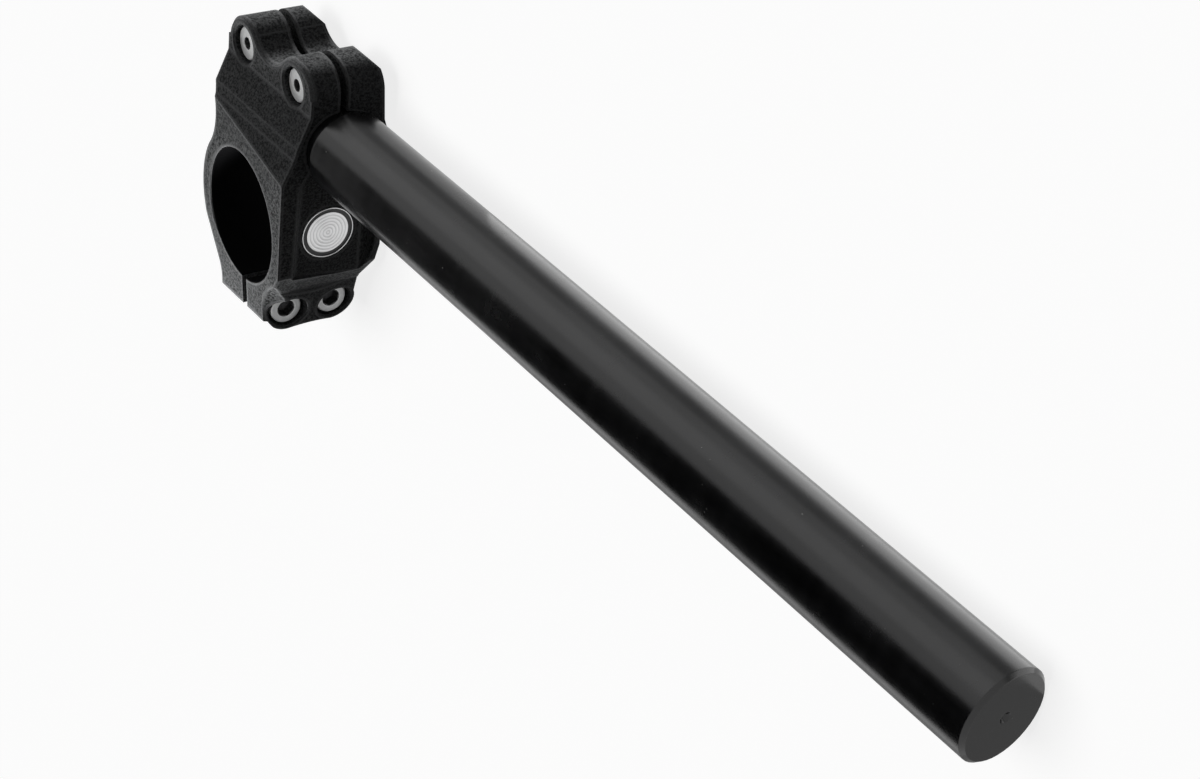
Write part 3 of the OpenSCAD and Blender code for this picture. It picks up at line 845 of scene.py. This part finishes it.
def hang(name, grid, material):
    """A stage sheet through a grid of points, seen in reflections and by nothing else."""
    rows, cols = grid.shape[:2]
    i, j = np.meshgrid(np.arange(rows - 1), np.arange(cols - 1), indexing="ij")
    corner = i * cols + j
    quads = np.stack([corner, corner + 1, corner + cols + 1, corner + cols], -1)
    mesh = bpy.data.meshes.new(name)
    mesh.from_pydata(grid.reshape(-1, 3).tolist(), [], quads.reshape(-1, 4).tolist())
    mesh.materials.append(material)
    sheet = bpy.data.objects.new(name, mesh)
    bpy.context.scene.collection.objects.link(sheet)
    sheet.visible_camera = False
    sheet.visible_diffuse = False
    sheet.visible_shadow = False
    return sheet


def black_felt():
    """A matt black that gives back almost nothing."""
    material = bpy.data.materials.new("black_felt")
    material.use_nodes = True
    sockets = material.node_tree.nodes["Principled BSDF"].inputs
    sockets["Base Color"].default_value = (0.004, 0.004, 0.004, 1)
    sockets["Specular IOR Level"].default_value = 0.0
    return material


hang("dark_screen", screen_grid(SCREEN_ROUND, SCREEN_LEAN, rows=24, cols=24), black_felt())
print("dark screen, degrees round the bar:", SCREEN_ROUND)

# %% [markdown]
# ## A bright panel
#
# The long pale band on the bar is a soft box over it, found by the same rule. As a lamp it would
# also light the clamp, so it is a glowing sheet that only reflections see.

# %% The bright panel
PANEL_LEVEL = 1.35
PANEL_ROUND = (50, 84)
PANEL_LEAN = (30, 100)


def glowing(name, level):
    """A black surface that gives off an even light of this level."""
    material = bpy.data.materials.new(name)
    material.use_nodes = True
    sockets = material.node_tree.nodes["Principled BSDF"].inputs
    sockets["Base Color"].default_value = (0, 0, 0, 1)
    sockets["Emission Color"].default_value = (1, 1, 1, 1)
    sockets["Emission Strength"].default_value = level
    return material


panel = screen_grid(PANEL_ROUND, PANEL_LEAN, rows=12, cols=24)
hang("bright_panel", panel, glowing("panel_glow", PANEL_LEVEL))
print("bright panel level:", PANEL_LEVEL)

# %% [markdown]
# ## Cards on the floor
#
# Near its two long edges the bar mirrors the floor. Four long cards lie there, seen in reflections
# only. A white one under the upper edge makes it bright, and a grey one beside it draws a dark line
# under that. Two more in a row on the other side calm the lower edge and the bar's end. The one
# beside the clamp is narrow, so that the badge mirrors white paper.

# %% Cards beside the bar
VIEW_TURN = 46.5
WHITE_LEVEL, GREY_LEVEL, LOW_LEVEL = 1.9, 0.35, 0.33
CLAMP_CARD_ENDS = (-150 * MM, 80 * MM)
BAR_CARD_ENDS = (80 * MM, 330 * MM)
LONG_CARD_ENDS = (-150 * MM, 330 * MM)
CARD_LIFT = 0.3 * MM
floor_up = np.array([math.sin(floor_tilt), 0.0, math.cos(floor_tilt)])


def floor_card(name, turns, ends, level):
    """A card under what the bar mirrors between two turns round its axis.

    A ray leaves the skin at radius * (sin turn, cos turn) in the mirrored direction, which has
    turn 2 turn - VIEW_TURN, and falls to the floor: side = radius sin turn
    + (height + radius cos turn) * sin mirrored / -cos mirrored.
    """
    along = np.linspace(*ends, 12)[:, None]
    axis = bar_centre + along * bar_dir
    height = ((axis - ring_low) @ floor_up)[:, None]
    turn = np.radians(turns)[None, :]
    mirrored = 2 * turn - math.radians(VIEW_TURN)
    side = bar_r * np.sin(turn) - (height + bar_r * np.cos(turn)) * np.tan(mirrored)
    drop = (height - CARD_LIFT)[..., None] * floor_up
    grid = axis[:, None] + side[..., None] * np.array((0, 1.0, 0)) - drop
    hang(name, grid, glowing(name + "_glow", level))
    print(name, "reaches, in mm:", (side[[0, -1]] / MM).round(0).tolist())


floor_card("white_card", (96, 118), BAR_CARD_ENDS, WHITE_LEVEL)
floor_card("grey_card", (78, 91), LONG_CARD_ENDS, GREY_LEVEL)
floor_card("low_card", (-90, -25), BAR_CARD_ENDS, LOW_LEVEL)
floor_card("low_card_at_clamp", (-33, -25), CLAMP_CARD_ENDS, LOW_LEVEL)

# %% [markdown]
# ## The camera
#
# The camera's place, direction and lens were fitted to the photograph from the outlines of the
# bar and the clamp. Its three directions are the columns of its matrix.

# %% Camera
CAMERA_RIGHT = (0.538978, 0.116542, -0.834219)
CAMERA_DOWN = (0.536514, -0.810990, 0.233338)
CAMERA_PLACE = (0.5308081, 0.3637800, 0.2823099)
FOCAL_PIXELS = 2308.45
IMAGE_WIDTH = 1200
SENSOR_WIDTH = 36.0
camera_data = bpy.data.cameras.new("camera")
camera_data.sensor_fit = "HORIZONTAL"
camera_data.sensor_width = SENSOR_WIDTH
camera_data.lens = FOCAL_PIXELS / IMAGE_WIDTH * SENSOR_WIDTH
camera = bpy.data.objects.new("camera", camera_data)
bpy.context.scene.collection.objects.link(camera)
right = np.array(CAMERA_RIGHT)
down = np.array(CAMERA_DOWN)
back = np.cross(right, -down)
matrix = np.eye(4)
matrix[:3, 0], matrix[:3, 1], matrix[:3, 2], matrix[:3, 3] = right, -down, back, CAMERA_PLACE
camera.matrix_world = Matrix(matrix.tolist())
camera_data.clip_start, camera_data.clip_end = 0.01, 20.0
bpy.context.scene.camera = camera
bpy.context.scene.view_settings.view_transform = "Standard"
print("lens in mm:", round(camera_data.lens, 2))
